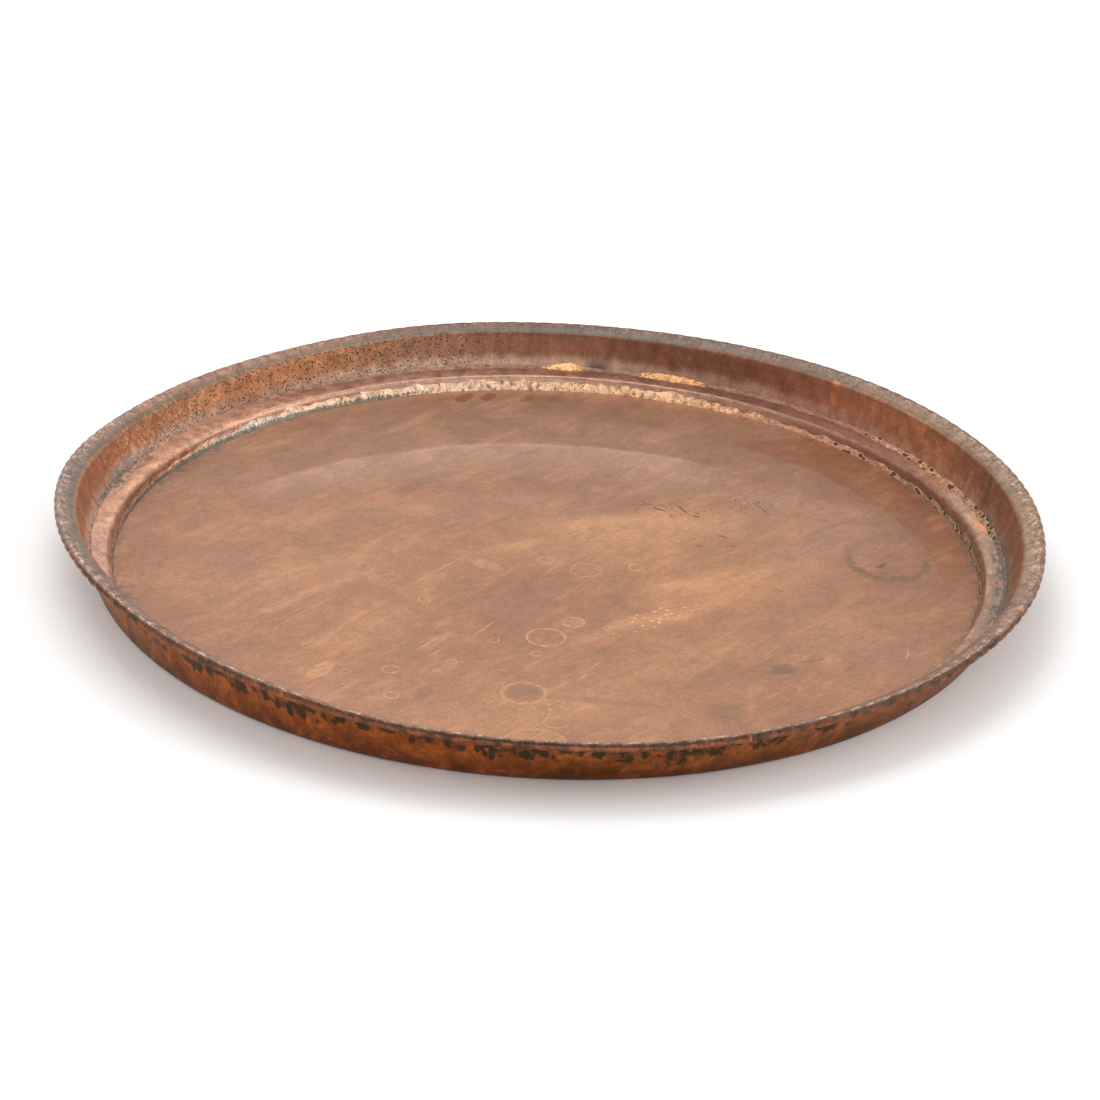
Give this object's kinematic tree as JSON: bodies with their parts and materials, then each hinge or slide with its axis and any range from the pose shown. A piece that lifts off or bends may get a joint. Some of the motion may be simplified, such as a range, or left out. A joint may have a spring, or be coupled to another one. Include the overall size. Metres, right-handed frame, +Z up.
{
  "type": "serving tray",
  "caption": "Large round hammered copper tray: flat floor, raised step inside, upright wall and a turned-out lip rolled over wire, with scalloped edge and brazed seams.",
  "frame": {"origin": "on the ground, under the middle of the floor", "axes": "+Z up along the tray's axis; -Y is the side nearest a viewer who looks along +Y"},
  "size_m": [0.7998, 0.7998, 0.0515],
  "materials": {
    "floor_copper": "worn pinkish-brown copper, planished, with scratches and water rings",
    "step_copper": "hammered copper, pinkish brown",
    "wall_copper": "dark orange-brown hammered copper with grey-green patina on the lip",
    "spelter_brass": "rough cast brass spelter under patina",
    "wire_iron": "black iron wire"
  },
  "bodies": {
    "root": {"floor_disc": "floor_copper", "step_strip": "step_copper", "wall_sheet": "wall_copper", "floor_spelter": "spelter_brass", "wall_spelter": "spelter_brass", "rim_wire": "wire_iron"}
  },
  "joints": []
}
